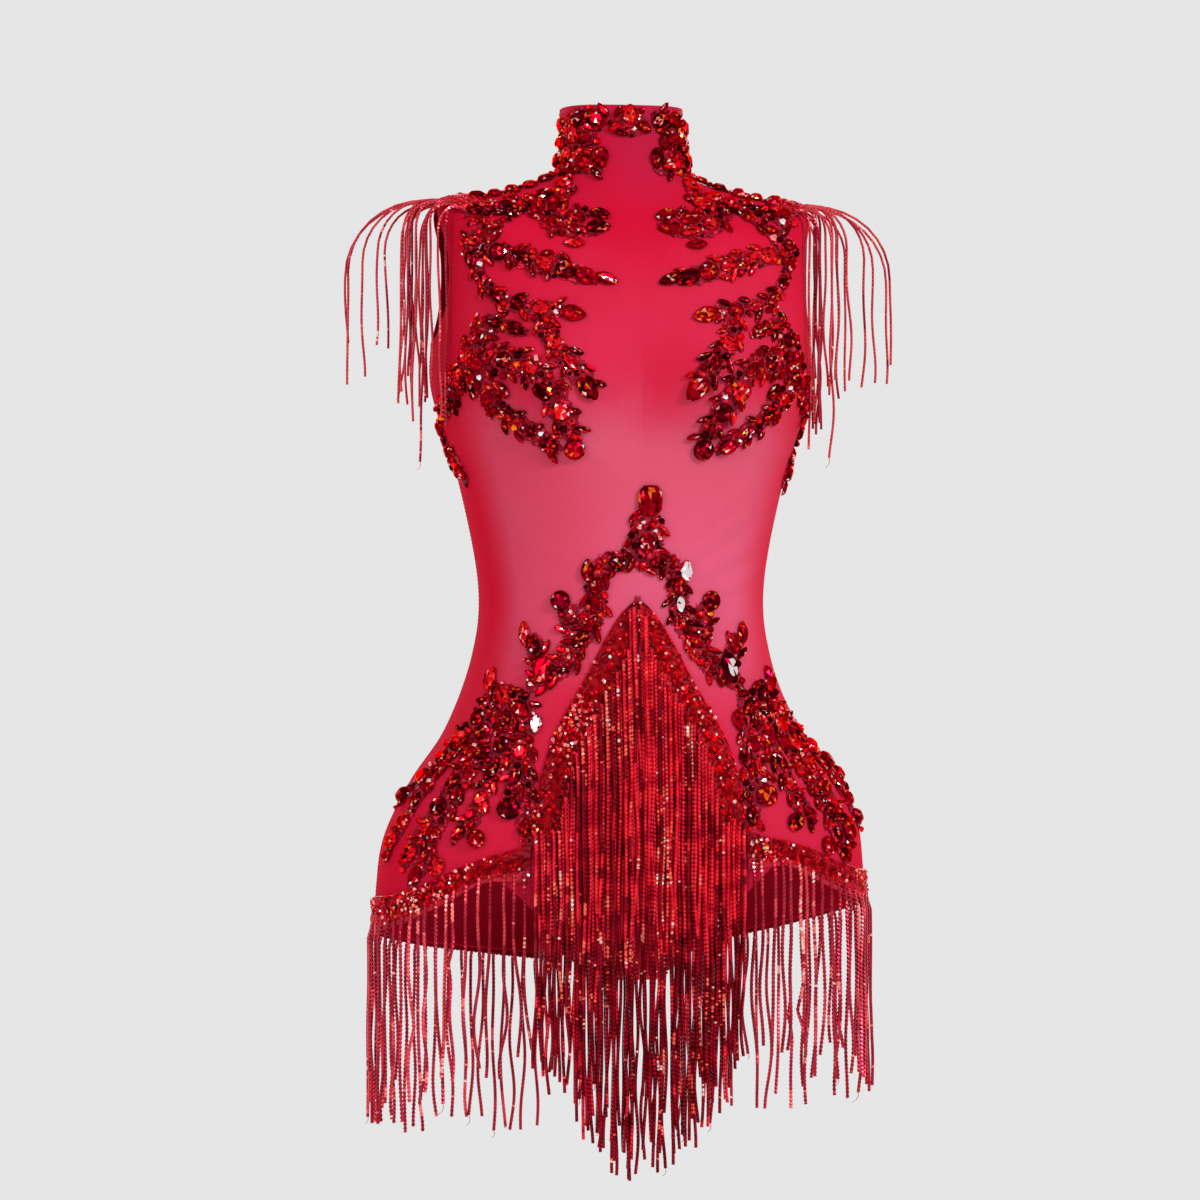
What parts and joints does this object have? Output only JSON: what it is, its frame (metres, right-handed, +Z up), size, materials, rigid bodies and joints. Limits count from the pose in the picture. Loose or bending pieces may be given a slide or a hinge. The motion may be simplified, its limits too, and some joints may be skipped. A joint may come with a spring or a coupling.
{
  "type": "fringe dance bodysuit",
  "caption": "Sleeveless high-necked dance bodysuit in red stretch mesh with crystal sprays, a bell-shaped belly fringe, fringed leg hems and shoulder fringes.",
  "frame": {"origin": "middle of the neck base, level with the shoulder seams at the neck, inside the worn suit", "axes": "+Z up the wearer, -Y the way the wearer faces, +X to the wearer's left"},
  "size_m": [0.439, 0.262, 0.838],
  "materials": {
    "mesh": "semi-sheer stretch mesh",
    "stones": "faceted foiled glass on a sewn backing",
    "sequins": "strung sequins, glossy"
  },
  "bodies": {
    "root": {"front_panel": "mesh", "back_panel_left": "mesh", "back_panel_right": "mesh", "crotch_gusset": "mesh", "collar_motif": "stones", "waist_crest": "stones", "shoulder_spray_left": "stones", "shoulder_spray_right": "stones", "bust_spray_left": "stones", "bust_spray_right": "stones", "hip_spray_left": "stones", "hip_spray_right": "stones", "apron_fringe": "sequins", "hem_fringe_left": "sequins", "hem_fringe_right": "sequins", "shoulder_fringe_left": "sequins", "shoulder_fringe_right": "sequins"}
  },
  "joints": []
}
